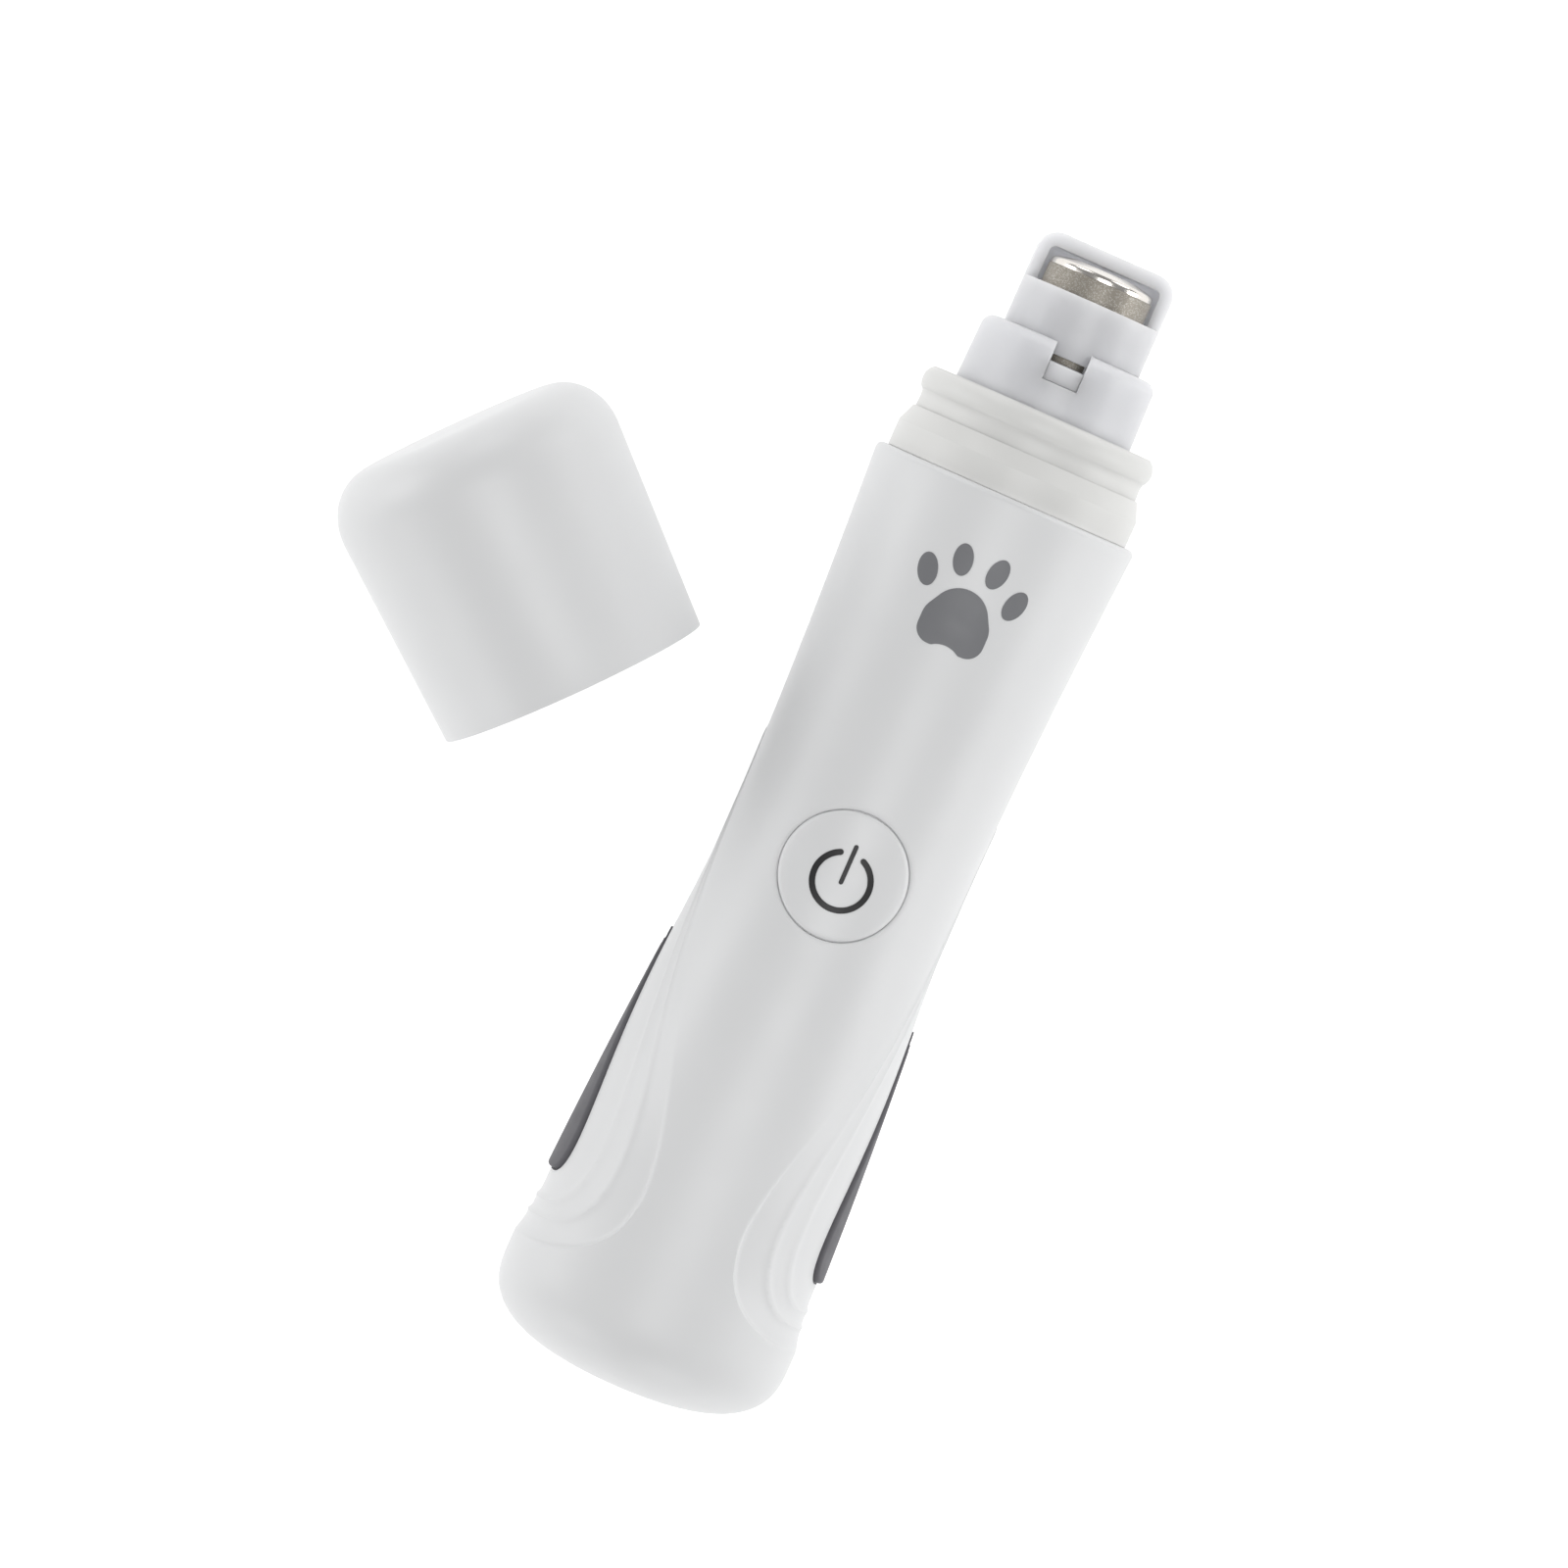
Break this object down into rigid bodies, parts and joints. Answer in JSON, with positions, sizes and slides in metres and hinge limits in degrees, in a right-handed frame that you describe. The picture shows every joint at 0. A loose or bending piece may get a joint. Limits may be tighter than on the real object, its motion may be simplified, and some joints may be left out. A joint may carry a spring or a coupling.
{
  "type": "pet nail grinder",
  "caption": "Battery rotary nail grinder for pets: waisted white handle with side grips, power button, guarded abrasive drum and a pull-off cap lying beside it",
  "frame": {"origin": "centre of the small flat on the handle's base end", "axes": "+Y along the handle from the base end to the guard's tip; +Z out of the button, away from the surface that the handle lies on; +X to the button's right"},
  "size_m": [0.0983, 0.1591, 0.0387],
  "materials": {
    "white_shell": "satin moulded",
    "button_white": "satin moulded",
    "neck_white": "satin moulded",
    "guard_white": "satin moulded",
    "grip_rubber": "fine matt",
    "seal_rubber": "matt",
    "grey_print": "printed ink",
    "black_print": "printed ink",
    "polished_steel": "polished",
    "abrasive": "diamond grit",
    "plated_steel": "plated",
    "iron_stack": "varnished",
    "inner_plastic": "moulded",
    "bush_brass": "machined",
    "board_green": "solder mask",
    "black_plastic": "moulded",
    "cell_wrap": "shrink wrap",
    "wire_red": "insulation",
    "wire_black": "insulation"
  },
  "bodies": {
    "handle": {"front_shell": "white_shell", "rear_shell": "white_shell", "left_grip": "grip_rubber", "right_grip": "grip_rubber", "isolator_ring": "seal_rubber", "dust_seal": "seal_rubber", "paw_print": "grey_print", "neck_collar": "neck_white", "guard_base": "guard_white", "motor_can": "plated_steel", "board_screws": "plated_steel", "motor_screws": "plated_steel", "battery_tabs": "plated_steel", "charging_socket": "plated_steel", "motor_magnets": "iron_stack", "motor_end_bell": "inner_plastic", "motor_mount": "inner_plastic", "front_bush": "bush_brass", "rear_bush": "bush_brass", "motor_brushes": "bush_brass", "circuit_board": "board_green", "charge_board": "board_green", "board_components": "black_plastic", "socket_tongue": "black_plastic", "tact_switch": "plated_steel", "battery_cell": "cell_wrap", "battery_wires": "wire_red", "charge_wires": "wire_red", "motor_wires": "wire_black"},
    "drive": {"motor_shaft": "polished_steel", "motor_armature": "iron_stack", "commutator": "bush_brass", "drum_core": "polished_steel", "abrasive_sleeve": "abrasive"},
    "guard": {"guard_cap": "guard_white"},
    "button": {"power_button": "button_white", "power_icon": "black_print", "switch_plunger": "black_plastic"},
    "cap": {"cap_shell": "white_shell"}
  },
  "joints": [
    {"name": "drum_spin", "type": "hinge", "parent": "handle", "child": "drive", "pos_m": [0, 0.147, 0], "axis": [0, 1, 0], "continuous": true},
    {"name": "guard_pull", "type": "slide", "parent": "handle", "child": "guard", "axis": [0, 1, 0], "range_m": [0, 0.025]},
    {"name": "button_press", "type": "slide", "parent": "handle", "child": "button", "axis": [0, 0, -1], "range_m": [0, 0.0006], "stiffness_N_per_m": 2500, "springref_m": -0.0002},
    {"name": "cap_carry", "type": "slide", "parent": "handle", "child": "cap", "axis": [-0.7478, 0.6639, 0], "range_m": [0, 0.036]}
  ]
}
